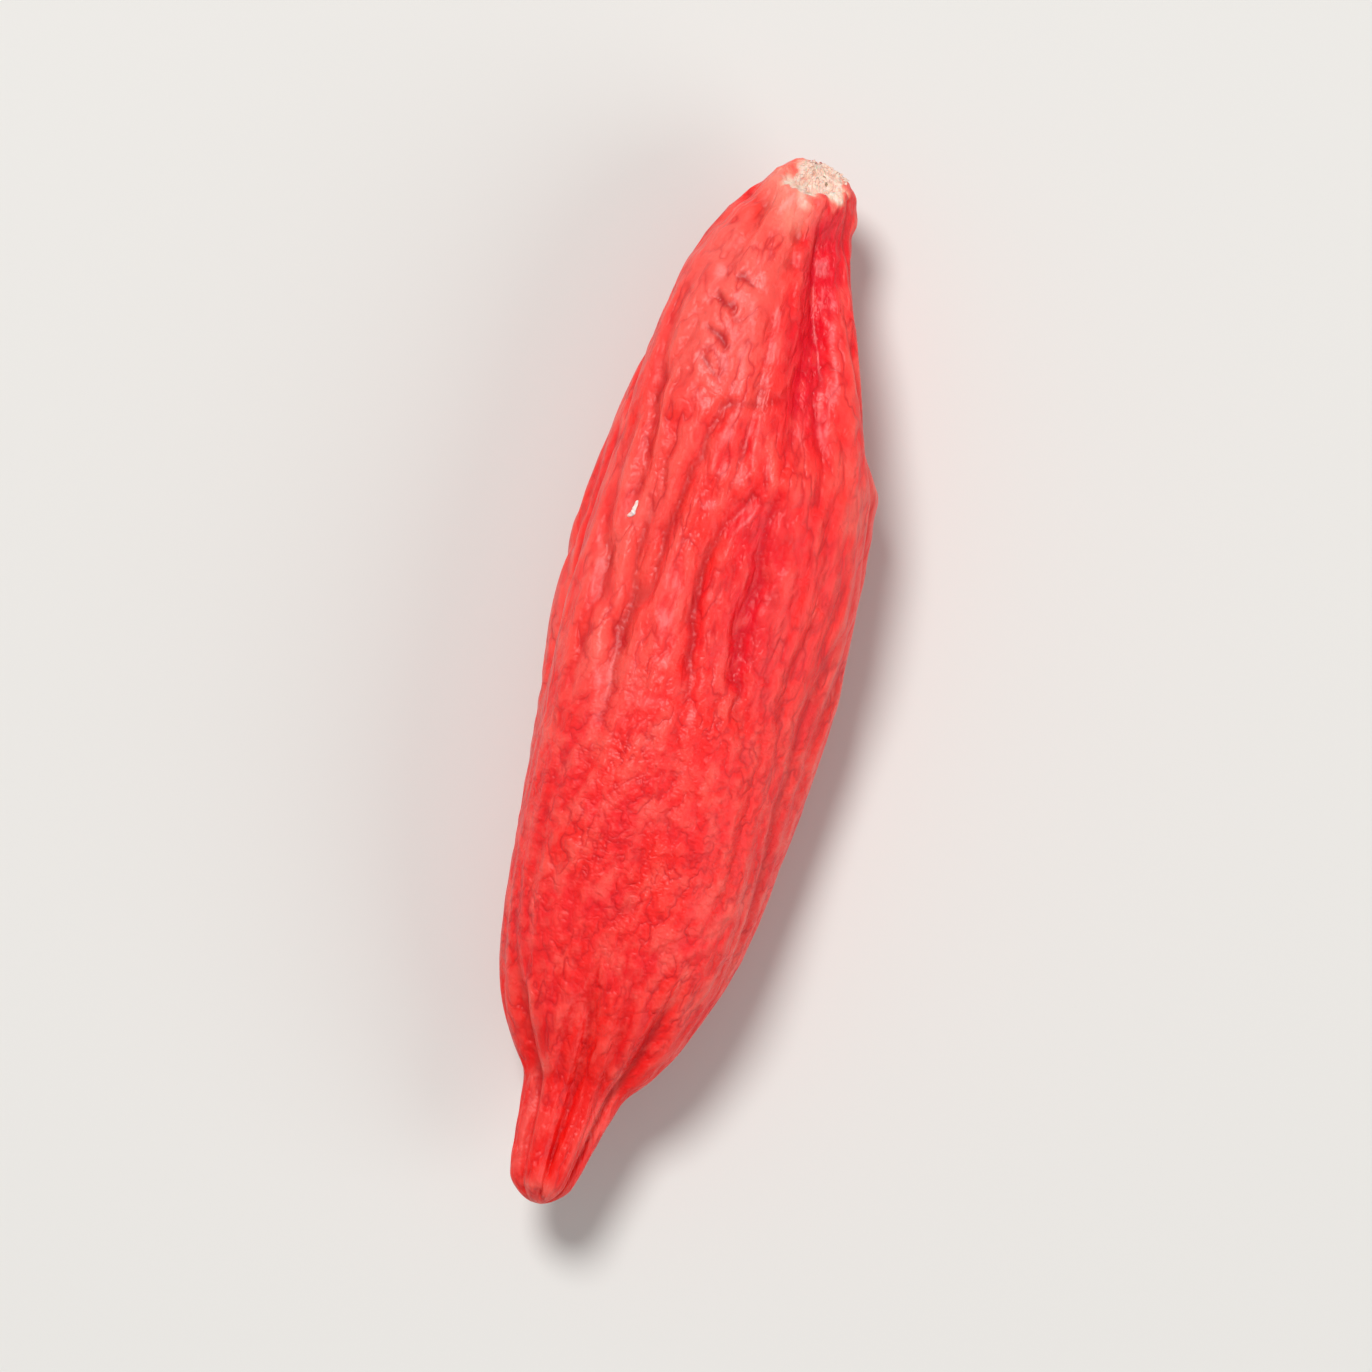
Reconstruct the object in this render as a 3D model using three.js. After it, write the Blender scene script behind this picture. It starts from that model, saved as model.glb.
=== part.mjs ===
// A dried goji berry, lying on its side: one wrinkled, spindle-shaped fruit with the pale
// stalk scar at one end and the small nub of the flower at the other.
// Millimetres. +Y runs along the berry to the stalk end, +X is its right side and +Z is up.
// The origin is on the ground, below the middle of the berry's box.
import * as THREE from 'three';
import { mergeVertices } from 'three/addons/utils/BufferGeometryUtils.js';

// Overall sizes. A station is a distance along the berry from the stalk end.
const LENGTH = 17.6;
const BODY_LENGTH = 15.7; // the fleshy part, without the nub
const LEFT_HALF_WIDTH = 2.4;
const RIGHT_HALF_WIDTH = 2.52;
const UPPER_HALF_HEIGHT = 2.12;
const LOWER_HALF_HEIGHT = 1.95;
const STALK_END_BLUNTNESS = 2.4; // 2 is an ellipse along the berry, more has a fuller end
const NUB_END_BLUNTNESS = 2.8;
const SECTION_SQUARENESS = 2.15; // 2 is an ellipse across the berry, more is boxier
const FLAT_SPOT_HEIGHT = 0.26; // how much of the belly has flattened on what it lies on

// The nub, which stands a little to the left and is lifted off the ground.
const NUB_ROOT_STATION = 15.1;
const NUB_ROOT_RADIUS = 0.92;
const NUB_TIP_RADIUS = 0.5;
const NUB_SHIFT = -0.19;
const NUB_LIFT = 0.2;
const NUB_LEAN_START = 14.8; // the station where the centre line starts to bend to the nub
const NUB_LEAN_END = 17.6;
const NUB_BLEND_POWER = 5; // how tightly the nub's root meets the body

// The scar where the stalk broke off: a small flat seat on the upper part of the end, with a low
// rim round a shallow dimple.
const SCAR_MIDDLE = { side: -0.02, station: 0.2, height: 0.52 };
const SCAR_TILT = 38; // degrees that it faces up from the berry's length
const SCAR_RADIUS = 0.52;
const SCAR_SEAT_REACH = 0.88; // how far from its middle the skin is drawn towards the seat
const SCAR_INSET = 0.08; // how far below the plump end its seat lies
const SCAR_RIM_HEIGHT = 0.07;
const SCAR_RIM_WIDTH = 0.15;
const SCAR_DIMPLE_DEPTH = 0.1;
const SCAR_DIMPLE_RADIUS = 0.31;

// Large folds where the skin has sunk in, each running lengthwise between two stations. Angles
// are degrees round the berry, from its right side over the top, at the two ends of the fold.
const FOLDS = [
  { where: 'right shoulder', from: 0.5, to: 5.0, angles: [64, 64], width: 0.48, depth: 0.38 },
  { where: 'right edge', from: 0.2, to: 4.8, angles: [6, -6], width: 1.15, depth: 0.86 },
  { where: 'top right', from: 5.2, to: 9.4, angles: [72, 68], width: 0.5, depth: 0.17 },
  { where: 'top left', from: 4.4, to: 11.2, angles: [128, 118], width: 0.42, depth: 0.13 },
  { where: 'lower top', from: 9.0, to: 14.9, angles: [84, 97], width: 0.45, depth: 0.12 },
  { where: 'left edge', from: 2.2, to: 13.6, angles: [166, 178], width: 0.5, depth: 0.26 },
  { where: 'right flank', from: 7.2, to: 15.2, angles: [26, 12], width: 0.5, depth: 0.24 },
  { where: 'left underside', from: 1.2, to: 14.2, angles: [222, 214], width: 0.6, depth: 0.4 },
  { where: 'right underside', from: 1.6, to: 14.6, angles: [318, 326], width: 0.6, depth: 0.38 },
];
const FOLD_END_FULLNESS = 0.7; // under 1 keeps a fold deep until close to its ends

// Wrinkles all round the berry: so many narrow valleys in each set. They wander as they run, by
// an angle with a wavelength along the berry, and their ripples drift round it.
const WRINKLES = [
  { count: 8, depth: 0.1, wander: 0.6, wave: 9.1, ripple: 0.55, phase: 0.6 },
  { count: 13, depth: 0.055, wander: 0.9, wave: 6.2, ripple: 0.8, phase: 2.1 },
];
const RIPPLE_DRIFT = 0.9; // radians for each millimetre along the berry
const WRINKLE_PATCHINESS = 0.35; // how much shallower wrinkles are in places
const WRINKLE_PATCH = { around: 3, along: 1.1 };
const WRINKLE_CALM = { from: 7.5, to: 10, share: 0.45 }; // the lower half is smoother than the upper
const WRINKLE_FADE_RADIUS = 1.3; // where the berry is thinner than this, its wrinkles are shallower
const WRINKLE_FADE_POWER = 1.5;
const VALLEY_SHARPNESS = 1.4; // 1 is a V, more narrows the valleys and rounds the crests
const VALLEY_FLOOR = 0.12; // how rounded the bottom of a valley is

// Short furrows that gather into the nub, and finer ones round the scar.
const NUB_FURROWS = { count: 7, depth: 0.15, from: 12.8, to: 15.1, twist: 0.25, phase: 0 };
const SCAR_FURROWS = { count: 11, depth: 0.08, from: 0, to: 2.4, twist: 0, phase: 0.4 };

// Broad, low swellings that keep the berry from being regular.
const SWELLING_HEIGHT = 0.045;
const SWELLINGS = [
  { around: 2, along: 0.95, phase: 0.5 },
  { around: 3, along: -0.55, phase: 1.9 },
];

// Steps of the surface.
const STEPS_AROUND = 80;
const STEPS_ALONG = 62;
const END_CROWDING = 0.3; // 0 is even steps along the berry, 1 crowds them at the ends
const SAME_POINT = 0.001;

const { lerp, smoothstep, degToRad, clamp, euclideanModulo } = THREE.MathUtils;

// The station of the surface's ring at this polar angle of the unit sphere.
function stationAt(polar) {
  const even = polar / Math.PI;
  const crowded = (1 - Math.cos(polar)) / 2;
  return LENGTH * lerp(even, crowded, END_CROWDING);
}

// How full the body is at a station, from 0 at its ends to 1 at its middle.
function bodyFullness(station) {
  const middle = BODY_LENGTH / 2;
  const fromMiddle = Math.min(1, Math.abs(station - middle) / middle);
  const bluntness = station < middle ? STALK_END_BLUNTNESS : NUB_END_BLUNTNESS;
  return Math.sqrt(1 - fromMiddle ** bluntness);
}

// The body's distance from its centre line where it is fullest, at an angle round it.
function fullestRadius(angle) {
  const halfWidth = Math.cos(angle) > 0 ? RIGHT_HALF_WIDTH : LEFT_HALF_WIDTH;
  const halfHeight = Math.sin(angle) > 0 ? UPPER_HALF_HEIGHT : LOWER_HALF_HEIGHT;
  const across = Math.abs(Math.cos(angle)) / halfWidth;
  const upright = Math.abs(Math.sin(angle)) / halfHeight;
  return (across ** SECTION_SQUARENESS + upright ** SECTION_SQUARENESS) ** (-1 / SECTION_SQUARENESS);
}

// The nub's radius at a station: a taper with a round tip. It fades out inside the body.
function nubRadius(station) {
  const alongNub = (station - NUB_ROOT_STATION) / (LENGTH - NUB_ROOT_STATION);
  const taper = lerp(NUB_ROOT_RADIUS, NUB_TIP_RADIUS, clamp(alongNub, 0, 1));
  const intoTip = clamp((station - LENGTH + NUB_TIP_RADIUS) / NUB_TIP_RADIUS, 0, 1);
  return taper * Math.sqrt(1 - intoTip ** 2) * smoothstep(station, 0, NUB_ROOT_STATION);
}

// The smooth berry, before it dried: body and nub as one form.
function plumpRadius(station, angle) {
  const body = bodyFullness(station) * fullestRadius(angle);
  const nub = nubRadius(station);
  return (body ** NUB_BLEND_POWER + nub ** NUB_BLEND_POWER) ** (1 / NUB_BLEND_POWER);
}

// The angle between two directions round the berry, the short way, in radians.
function angleBetween(a, b) {
  return Math.abs(euclideanModulo(a - b + Math.PI, 2 * Math.PI) - Math.PI);
}

// How deep the large folds are at a place on the surface.
function foldDepth(station, angle, radius) {
  let depth = 0;
  for (const fold of FOLDS) {
    const along = (station - fold.from) / (fold.to - fold.from);
    if (along <= 0 || along >= 1) continue;
    const middle = degToRad(lerp(fold.angles[0], fold.angles[1], along));
    const offset = (radius * angleBetween(angle, middle)) / fold.width;
    const reach = Math.sin(Math.PI * along) ** FOLD_END_FULLNESS;
    depth += fold.depth * reach * Math.exp(-(offset ** 2));
  }
  return depth;
}

// The section of a row of valleys: 1 along each valley's line and 0 on the crests between.
function valleyAt(phase) {
  const crest = Math.sqrt(Math.sin(phase) ** 2 + VALLEY_FLOOR ** 2);
  return Math.max(0, 1 + VALLEY_FLOOR - crest) ** VALLEY_SHARPNESS;
}

// How deep the wrinkles are: valleys along wandering lines, with rounded crests between.
function wrinkleDepth(station, angle) {
  let depth = 0;
  for (const { count, depth: full, wander, wave, ripple, phase } of WRINKLES) {
    const sway = wander * Math.sin((2 * Math.PI * station) / wave + phase + Math.sin(angle));
    const rippled = ripple * Math.sin(2 * angle + RIPPLE_DRIFT * station + phase);
    const patch = Math.sin(WRINKLE_PATCH.along * station + WRINKLE_PATCH.around * angle + phase);
    const calm = lerp(1, WRINKLE_CALM.share, smoothstep(station, WRINKLE_CALM.from, WRINKLE_CALM.to));
    const strength = calm * (1 - WRINKLE_PATCHINESS * (1 - patch));
    depth += full * strength * valleyAt((count * angle) / 2 + sway + rippled);
  }
  return depth;
}

// How deep one set of furrows is, before it fades in or out along the berry.
function furrowDepth(furrows, station, angle) {
  return furrows.depth * valleyAt((furrows.count * angle) / 2 + furrows.twist * station + furrows.phase);
}

// How deep the furrows are that gather into the nub and round the scar.
function endFurrowDepth(station, angle) {
  const intoNub = smoothstep(station, NUB_FURROWS.from, NUB_FURROWS.to);
  const roundScar = 1 - smoothstep(station, SCAR_FURROWS.from, SCAR_FURROWS.to);
  return intoNub * furrowDepth(NUB_FURROWS, station, angle) + roundScar * furrowDepth(SCAR_FURROWS, station, angle);
}

// How high the broad swellings are.
function swelling(station, angle) {
  let height = 0;
  for (const { around, along, phase } of SWELLINGS) {
    height += SWELLING_HEIGHT * Math.sin(along * station + around * angle + phase);
  }
  return height;
}

// Moves a point near the scar onto its seat, with the rim and the dimple. The same axes as surfacePoint.
function pressScar(point) {
  const tilt = degToRad(SCAR_TILT);
  const facing = new THREE.Vector3(0, Math.cos(tilt), Math.sin(tilt));
  const middle = new THREE.Vector3(SCAR_MIDDLE.side, LENGTH - SCAR_MIDDLE.station, SCAR_MIDDLE.height);
  const fromMiddle = point.clone().sub(middle);
  const rise = fromMiddle.dot(facing);
  const distance = fromMiddle.addScaledVector(facing, -rise).length();
  if (Math.abs(rise) > 2 * SCAR_RADIUS) return;
  const held = 1 - smoothstep(distance, SCAR_RADIUS - SCAR_INSET, SCAR_SEAT_REACH);
  const rim = SCAR_RIM_HEIGHT * Math.exp(-(((distance - SCAR_RADIUS) / SCAR_RIM_WIDTH) ** 2));
  const dimple = SCAR_DIMPLE_DEPTH * Math.exp(-((distance / SCAR_DIMPLE_RADIUS) ** 2));
  point.addScaledVector(facing, (-SCAR_INSET - rise) * held + rim - dimple);
}

// A point of the dried berry's surface. Here y is the distance from the nub's tip and the centre
// line of the body lies on the Y axis.
function surfacePoint(station, angle) {
  const plump = plumpRadius(station, angle);
  const thinness = Math.min(1, plump / WRINKLE_FADE_RADIUS) ** WRINKLE_FADE_POWER;
  const relief = swelling(station, angle) - foldDepth(station, angle, plump) - wrinkleDepth(station, angle);
  const furrow = endFurrowDepth(station, angle) * Math.min(1, plump / NUB_TIP_RADIUS);
  const radius = plump + relief * thinness - furrow;
  const leaning = smoothstep(station, NUB_LEAN_START, NUB_LEAN_END);
  const point = new THREE.Vector3(
    radius * Math.cos(angle) + NUB_SHIFT * leaning,
    LENGTH - station,
    radius * Math.sin(angle) + NUB_LIFT * leaning,
  );
  pressScar(point);
  point.z = Math.max(point.z, FLAT_SPOT_HEIGHT - LOWER_HALF_HEIGHT);
  return point;
}

// The berry's surface: a sphere whose points are moved onto it, with the box's middle over the origin.
function berryGeometry() {
  const sphere = new THREE.SphereGeometry(1, STEPS_AROUND, STEPS_ALONG);
  const position = sphere.getAttribute('position');
  const onSphere = new THREE.Vector3();
  for (let i = 0; i < position.count; i++) {
    onSphere.fromBufferAttribute(position, i);
    const station = stationAt(Math.acos(clamp(onSphere.y, -1, 1)));
    const point = surfacePoint(station, Math.atan2(onSphere.z, onSphere.x));
    position.setXYZ(i, point.x, point.y, point.z);
  }
  sphere.deleteAttribute('normal');
  sphere.deleteAttribute('uv');
  const closed = mergeVertices(sphere, SAME_POINT);
  closed.computeBoundingBox();
  const middle = closed.boundingBox.getCenter(new THREE.Vector3());
  closed.translate(-middle.x, -middle.y, -closed.boundingBox.min.z);
  closed.computeVertexNormals();
  return closed;
}

// The dried skin: a soft, slightly waxy scarlet.
function skinMaterial() {
  return new THREE.MeshStandardMaterial({ color: '#d8322f', roughness: 0.5, metalness: 0 });
}

const berry = new THREE.Mesh(berryGeometry(), skinMaterial());
berry.name = 'berry';

const gojiBerry = new THREE.Group();
gojiBerry.add(berry);

export default gojiBerry;
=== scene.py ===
"""A dried goji berry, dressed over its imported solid.

Metres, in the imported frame: +Y runs along the berry to the stalk end, +X is its right side and
+Z is up. Sizes on the berry are in millimetres until they reach a mesh, a material or a node.
"""

import logging
import math
from dataclasses import dataclass
from enum import Enum
from typing import Any

import bmesh
import bpy
import numpy as np
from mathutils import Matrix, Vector


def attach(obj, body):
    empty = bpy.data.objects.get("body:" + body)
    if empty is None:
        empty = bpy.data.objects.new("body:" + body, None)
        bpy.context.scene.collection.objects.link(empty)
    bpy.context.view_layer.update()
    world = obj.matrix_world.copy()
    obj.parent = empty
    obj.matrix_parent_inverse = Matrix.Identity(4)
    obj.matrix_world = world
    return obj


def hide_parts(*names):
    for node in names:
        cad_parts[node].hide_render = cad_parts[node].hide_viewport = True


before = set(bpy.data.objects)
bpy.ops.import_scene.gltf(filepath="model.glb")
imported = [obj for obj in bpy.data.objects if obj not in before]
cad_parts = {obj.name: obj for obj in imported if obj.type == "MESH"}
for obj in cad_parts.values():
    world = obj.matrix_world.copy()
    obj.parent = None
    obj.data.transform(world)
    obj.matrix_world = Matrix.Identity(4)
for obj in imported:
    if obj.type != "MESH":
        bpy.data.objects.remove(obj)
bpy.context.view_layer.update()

MM = 0.001
BODY = "root"
BERRY_NODE = "berry"

Pair = tuple[float, float]
Triple = tuple[float, float, float]
Places = dict[str, np.ndarray]
Tree = bpy.types.NodeTree
Socket = bpy.types.NodeSocket

log = logging.getLogger("goji_berry")


class Layer(Enum):
    """The values that the skin's mesh hands to its material, from 0 to 1 at each point."""

    # Creases: partly the skin's deeper red, partly painted shade.
    CREASE = "crease_shade"
    # Crests: partly a lighter bloom on the skin, partly a painted highlight.
    CREST_HIGHLIGHT = "crest_bloom_and_highlight"
    # Hollows: painted shade.
    HOLLOW_SHADE = "deep_red_and_hollow_shade"
    # Strips right of the middle: painted shade.
    SHADE_BAND = "shade_band"
    # Ticks: nicks darkened with painted shade.
    TICK = "tick"
    SCAR = "scar"
    NUB = "nub"
    # Painted light: the lit upper left swelling, the nub's edges and two highlight patches.
    PAINTED_HIGHLIGHT = "lit_lobe"


FLOW_MAP = "flow"


def srgb(code: str) -> tuple[float, float, float, float]:
    """Turns an sRGB hex colour to the linear colour that Blender's sockets take.

    Args:
        code: Six hex digits after a hash, such as "#ff8040".

    Returns:
        Linear red, green and blue, and an alpha of 1.
    """
    parts = [int(code[i:i + 2], 16) / 255 for i in (1, 3, 5)]
    linear = [p / 12.92 if p <= 0.04045 else ((p + 0.055) / 1.055) ** 2.4 for p in parts]
    return (linear[0], linear[1], linear[2], 1.0)


def add_node(tree: Tree, kind: str, settings: dict[str, Any] | None = None,
             inputs: dict[str | int, Any] | None = None) -> bpy.types.Node:
    """Adds a node to a tree, with its settings, values and links.

    Args:
        tree: The node tree.
        kind: Blender's name for the node's type.
        settings: Values for the node's own properties.
        inputs: For each input's name or number, a socket to link or a value to set.

    Returns:
        The new node.
    """
    node = tree.nodes.new(kind)
    for name, value in (settings or {}).items():
        setattr(node, name, value)
    for key, value in (inputs or {}).items():
        if isinstance(value, Socket):
            tree.links.new(value, node.inputs[key])
        else:
            node.inputs[key].default_value = value
    return node


def smooth_step(value: np.ndarray, start: float, end: float) -> np.ndarray:
    """Rises smoothly from 0 at the start to 1 at the end."""
    t = np.clip((value - start) / (end - start), 0, 1)
    return t * t * (3 - 2 * t)


def lengths(vectors: np.ndarray) -> np.ndarray:
    """Gives each vector's length, never quite 0, as a column that the vectors can be divided by."""
    return np.sqrt((vectors * vectors).sum(axis=-1, keepdims=True)) + 1e-9


def double_up(values: np.ndarray) -> np.ndarray:
    """Carries a grid of rings on over its last pole and back down the other side, so that it repeats.

    Args:
        values: Rings by points round. The first and the last ring are the poles.

    Returns:
        The doubled grid.
    """
    half = values.shape[1] // 2
    return np.concatenate([values, np.roll(values[-2:0:-1], half, axis=1)])


def blur(values: np.ndarray, rows: float, columns: float) -> np.ndarray:
    """Smooths values on a grid of rings with a Gaussian.

    Args:
        values: Rings by points round, with or without axes after them.
        rows: The Gaussian's width in rings.
        columns: The Gaussian's width in points round.

    Returns:
        The smoothed grid.
    """
    doubled = double_up(values)
    down = np.fft.fftfreq(doubled.shape[0])[:, None]
    across = np.fft.rfftfreq(doubled.shape[1])[None, :]
    keep = np.exp(-2 * np.pi ** 2 * ((down * rows) ** 2 + (across * columns) ** 2))
    keep = keep.reshape(keep.shape + (1,) * (values.ndim - 2))
    wave = np.fft.rfft2(doubled, axes=(0, 1)) * keep
    return np.fft.irfft2(wave, s=doubled.shape[:2], axes=(0, 1))[:values.shape[0]]


def blotches(shape: tuple[int, int], rows: float, columns: float, seed: int) -> np.ndarray:
    """Makes smooth random values on a grid of rings.

    Args:
        shape: How many rings and points round.
        rows: How far a blotch reaches along the berry, in rings.
        columns: How far it reaches round the berry, in points.
        seed: The seed for the random values.

    Returns:
        Values with a mean near 0 and a spread of 1.
    """
    values = blur(np.random.default_rng(seed).normal(0, 1, shape), rows, columns)
    return values / values.std()


@dataclass(frozen=True)
class Grain:
    """Smooth random rises and falls in space, whichever way a grid's points are spread over it."""

    height: float
    size: float
    seed: int

    WAVES = 24
    PACES = (0.6, 1.5)

    def at(self, points: np.ndarray) -> np.ndarray:
        """Adds up waves in random directions: a mean near 0, and a spread of the grain's height."""
        dice = np.random.default_rng(self.seed)
        ways = dice.normal(0, 1, (self.WAVES, 3))
        pace = 2 * np.pi / self.size * dice.uniform(*self.PACES, (self.WAVES, 1))
        turns = points @ (ways / lengths(ways) * pace).T + dice.uniform(0, 2 * np.pi, self.WAVES)
        return self.height * (np.cos(turns).sum(axis=-1) / math.sqrt(self.WAVES / 2))


def outward(points: np.ndarray) -> np.ndarray:
    """Finds the surface's outward direction at each point of a grid of rings.

    Args:
        points: Rings by points round by axis, from the nub's tip to the scar.

    Returns:
        Unit vectors on the same grid.
    """
    doubled = double_up(points)
    along = np.roll(doubled, -1, 0) - np.roll(doubled, 1, 0)
    around = np.roll(doubled, -1, 1) - np.roll(doubled, 1, 1)
    facing = np.cross(around, along)[:points.shape[0]]
    facing[0], facing[-1] = facing[1].mean(axis=0), facing[-2].mean(axis=0)
    facing /= lengths(facing)
    centre = points.mean(axis=1, keepdims=True)
    return facing if (facing * (points - centre)).sum() > 0 else -facing


@dataclass
class RingGrid:
    """The solid's surface as rings of points, from the nub's tip to the scar's pole."""

    node: bpy.types.Object
    rings: int = 310
    around: int = 320
    same_point: float = 0.0005 * MM

    def read(self) -> np.ndarray:
        """Reads a merged copy of the node's mesh, ring by ring.

        Returns:
            Points by ring, point round and axis. The two poles are rings of one repeated point.
        """
        shell = bmesh.new()
        shell.from_mesh(self.node.data)
        bmesh.ops.remove_doubles(shell, verts=shell.verts, dist=self.same_point)
        busiest = sorted(shell.verts, key=lambda v: len(v.link_edges))[-2:]
        tip, end = sorted(busiest, key=lambda v: v.co.y)
        ring = sorted(self._neighbours(tip),
                      key=lambda v: math.atan2(v.co.z - tip.co.z, v.co.x - tip.co.x))
        rings = [[tip] * len(ring), ring]
        seen = {tip, *ring}
        while end not in self._neighbours(ring[0]):
            ring = self._next_ring(ring, seen)
            seen.update(ring)
            rings.append(ring)
        rings.append([end] * len(ring))
        points = np.array([[v.co[:] for v in r] for r in rings])
        shell.free()
        return points

    @staticmethod
    def _neighbours(vertex: bmesh.types.BMVert) -> list[bmesh.types.BMVert]:
        """The vertices that share an edge with this one."""
        return [e.other_vert(vertex) for e in vertex.link_edges]

    def _next_ring(self, ring: list[bmesh.types.BMVert],
                   seen: set[bmesh.types.BMVert]) -> list[bmesh.types.BMVert]:
        """Finds the ring after this one, in step with it.

        Args:
            ring: The last ring, in order.
            seen: Every vertex up to and with that ring.

        Returns:
            The next ring. Each of its points is straight along the berry from this ring's.
        """
        ahead = [{v for v in self._neighbours(w) if v not in seen} for w in ring]
        choices = []
        for shift in (-1, 1):
            shared = [ahead[i] & ahead[(i + shift) % len(ring)] for i in range(len(ring))]
            if all(len(s) == 1 for s in shared):
                step = [next(iter(s)) for s in shared]
                choices.append((sum((a.co - b.co).length for a, b in zip(ring, step)), step))
        return min(choices, key=lambda c: c[0])[1]

    def fine(self) -> np.ndarray:
        """Draws a smooth surface through the rings, with more rings and more points round.

        Returns:
            Points by ring, point round and axis.
        """
        coarse = double_up(self.read())
        rows, columns = coarse.shape[:2]
        down = np.rint(np.fft.fftfreq(rows) * rows).astype(int)
        across = np.rint(np.fft.fftfreq(columns) * columns).astype(int)
        wave = np.zeros((2 * self.rings, self.around, 3), complex)
        wave[np.ix_(down, across)] = np.fft.fft2(coarse, axes=(0, 1))
        grown = wave.shape[0] * wave.shape[1] / (rows * columns)
        return (np.fft.ifft2(wave, axes=(0, 1)).real * grown)[:self.rings + 1]


@dataclass(frozen=True)
class Shares:
    """A value for the whole berry, and how much each of its parts adds to it."""

    whole: float
    patch: float = 0.0
    lit_lobe: float = 0.0
    lower: float = 0.0
    nub: float = 0.0

    def at(self, places: Places) -> np.ndarray:
        """Works the value out at each point of the grid."""
        ends = self.whole + self.patch * places["patch"] + self.lit_lobe * places["lit_lobe"]
        return ends + self.lower * places["lower"] + self.nub * places["nub"]


@dataclass(frozen=True)
class Drying:
    """One stage of drying. The pulp shrinks and the skin doesn't, so the skin has length to spare.

    Threads join each point of the skin to its neighbours. They want to be longer than the room
    they have, the skin resists bending, and the pulp holds each point near its place. The spare
    lengths are shares of that room. A fineness of 2 puts the wrinkles twice as close together,
    and a nub stiffness of 1 leaves the nub no length to spare along the berry. The spacing is
    counted in points of the grid.
    """

    spacing: float
    rounds: int
    start_depth: float
    seed: int
    spare_round: Shares
    spare_along: Shares
    fineness: Shares
    nub_stiffness: float
    thread_pull: float = 0.22
    bend_pull: float = 0.02
    hold_inwards: float = 0.6
    hold_outwards: float = 2.0
    slide_pull: float = 0.002
    keep_moving: float = 0.9
    longest_move: float = 0.01
    settling: float = 0.25
    fixed_rings: int = 5
    unevenness: float = 0.18

    THREADS = ((0, 1, 1.0), (1, 0, 1.0), (1, 1, 0.5), (1, -1, 0.5))
    START_SIZE = (0.4, 0.2)
    PATCH_SIZE = (2.2, 1.6)
    FULL_WIDTH = 4.0
    LEAST_START = 0.2

    def run(self, rest: np.ndarray, places: Places) -> np.ndarray:
        """Lets the skin crinkle until it has found room for its spare length.

        Args:
            rest: The surface before this stage, in millimetres, as rings of points.
            places: The grids of the berry's parts.

        Returns:
            The crinkled surface, on the same grid.
        """
        rest = rest.astype(np.float32)
        facing = outward(rest).astype(np.float32)
        threads = self._threads(rest, places)
        girth = np.clip(np.ptp(rest[..., 0], axis=1) / self.FULL_WIDTH, self.LEAST_START, 1)[:, None]
        start = self.start_depth * self._blotches(rest, self.START_SIZE, self.seed)
        skin = rest + facing * (start * girth)[..., None].astype(np.float32)
        curl = self._curl(rest)
        patchy = self._blotches(rest, self.PATCH_SIZE, self.seed + 1)
        width = self.spacing * np.exp(self.unevenness * patchy) / self.fineness.at(places)
        hold = (self.bend_pull * (2 * np.pi / width) ** 4)[..., None].astype(np.float32)
        free = np.ones((len(rest), 1, 1), np.float32)
        free[:self.fixed_rings] = free[-self.fixed_rings:] = 0
        speed = np.zeros_like(skin)
        for turn in range(self.rounds):
            dried = min(1.0, (turn + 1) / ((1 - self.settling) * self.rounds))
            force = -self.bend_pull * self._curl(self._curl(skin) - curl)
            for down, across, share, long_round, long_along, more_round, more_along in threads:
                wanted = np.hypot(long_round * (1 + dried * more_round),
                                  long_along * (1 + dried * more_along))
                thread = np.roll(skin, -across, axis=1)[down:] - skin[:len(skin) - down]
                pull = share * self.thread_pull * thread * (1 - wanted / lengths(thread))
                force[:len(skin) - down] += pull
                force[down:] -= np.roll(pull, across, axis=1)
            moved = skin - rest
            height = (moved * facing).sum(axis=-1, keepdims=True)
            grip = hold * np.where(height > 0, self.hold_outwards, self.hold_inwards)
            force -= (grip - self.slide_pull) * height * facing + self.slide_pull * moved
            speed = (self.keep_moving * speed + force) * free
            speed *= np.minimum(1, self.longest_move / lengths(speed))
            skin = skin + speed
            skin[..., 2] = np.maximum(skin[..., 2], 0)
        return skin

    def _blotches(self, rest: np.ndarray, size: Pair, seed: int) -> np.ndarray:
        """Makes blotches on the skin's grid, whose size along and round is counted in spacings."""
        return blotches(rest.shape[:2], self.spacing * size[0], self.spacing * size[1], seed)

    def _threads(self, rest: np.ndarray, places: Places) -> list[tuple[Any, ...]]:
        """Measures the threads between neighbouring points, split round and along the berry.

        Args:
            rest: The surface before this stage, in millimetres.
            places: The grids of the berry's parts.

        Returns:
            For each direction: its steps down and across the grid, its strength, the threads'
            lengths round and along the berry, and how much longer they want to be.
        """
        give = 1 - self.nub_stiffness * places["nub"]
        spare_round = (places["skin"] * self.spare_round.at(places)).astype(np.float32)
        spare_along = (places["skin"] * self.spare_along.at(places) * give).astype(np.float32)
        round_way = np.roll(rest, -1, axis=1) - rest
        round_way /= lengths(round_way)
        threads = []
        for down, across, share in self.THREADS:
            thread = np.roll(rest, -across, axis=1)[down:] - rest[:len(rest) - down]
            long_round = (thread * round_way[:len(rest) - down]).sum(axis=-1, keepdims=True)
            long_along = np.sqrt(np.maximum(lengths(thread) ** 2 - long_round ** 2, 0))
            threads.append((down, across, share, long_round, long_along,
                            spare_round[down:, :, None], spare_along[down:, :, None]))
        return threads

    @staticmethod
    def _curl(points: np.ndarray) -> np.ndarray:
        """Finds each point's way to the middle of its neighbours, times their number."""
        curl = np.roll(points, 1, axis=1) + np.roll(points, -1, axis=1) - 2 * points
        curl[1:-1] += points[2:] + points[:-2] - 2 * points[1:-1]
        return curl


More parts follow.
